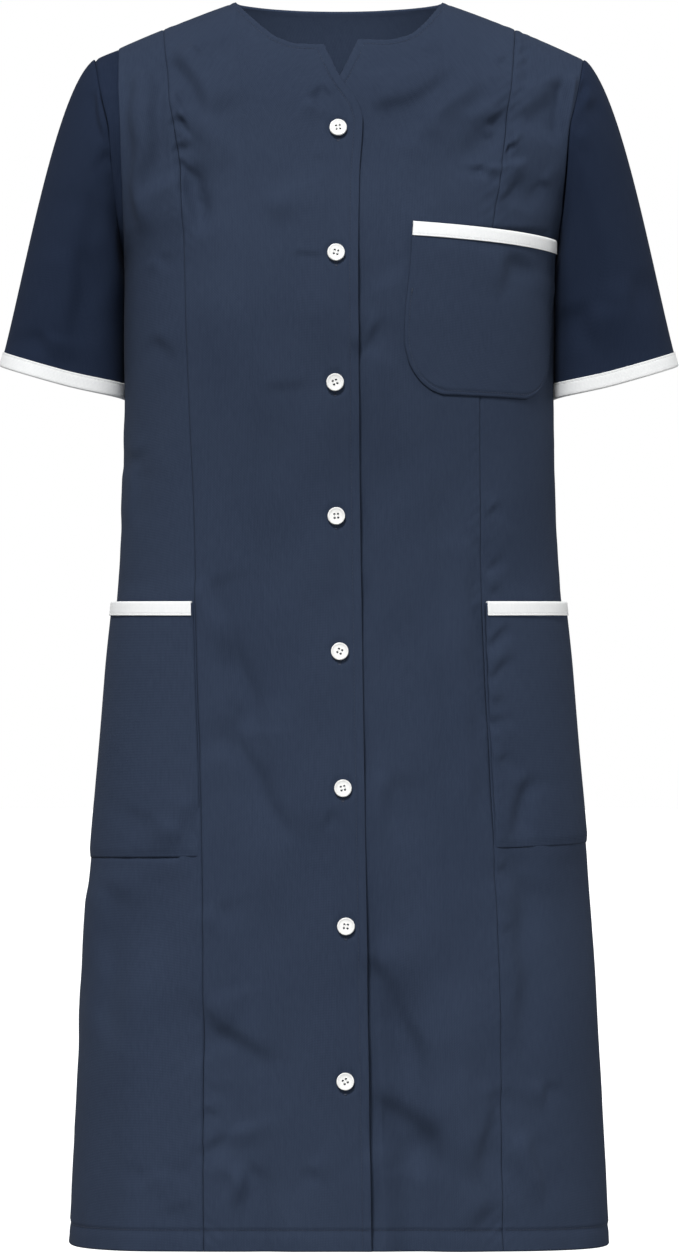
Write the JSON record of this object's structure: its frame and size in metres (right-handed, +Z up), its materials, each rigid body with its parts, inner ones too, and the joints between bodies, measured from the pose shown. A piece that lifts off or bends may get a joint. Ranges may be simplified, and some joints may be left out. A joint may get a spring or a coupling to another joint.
{
  "type": "nurse uniform dress",
  "caption": "Hollow short-sleeved nurse uniform dress, filled out as if worn, with a notched round neck, button front, white bound cuffs and bound patch pockets.",
  "frame": {"origin": "midway between the two high points of the neck, where the wearer's shoulders carry the dress", "axes": "+Z up towards the neck, -Y out of the front, +X towards the wearer's left side"},
  "size_m": [0.5674, 0.3353, 1.0316],
  "materials": {
    "navy_cloth": "matte woven polyester and cotton",
    "white_binding": "matte woven bias binding",
    "white_button": "polished white polyester resin"
  },
  "bodies": {
    "root": {"front_right": "navy_cloth", "front_left": "navy_cloth", "side_front_right": "navy_cloth", "side_front_left": "navy_cloth", "back": "navy_cloth", "sleeve_right": "navy_cloth", "sleeve_left": "navy_cloth", "hip_pocket_right": "navy_cloth", "hip_pocket_left": "navy_cloth", "breast_pocket": "navy_cloth", "cuff_trim_right": "white_binding", "cuff_trim_left": "white_binding", "hip_pocket_trim_right": "white_binding", "hip_pocket_trim_left": "white_binding", "breast_pocket_trim": "white_binding", "button_1": "white_button", "button_2": "white_button", "button_3": "white_button", "button_4": "white_button", "button_5": "white_button", "button_6": "white_button", "button_7": "white_button", "button_8": "white_button"}
  },
  "joints": []
}
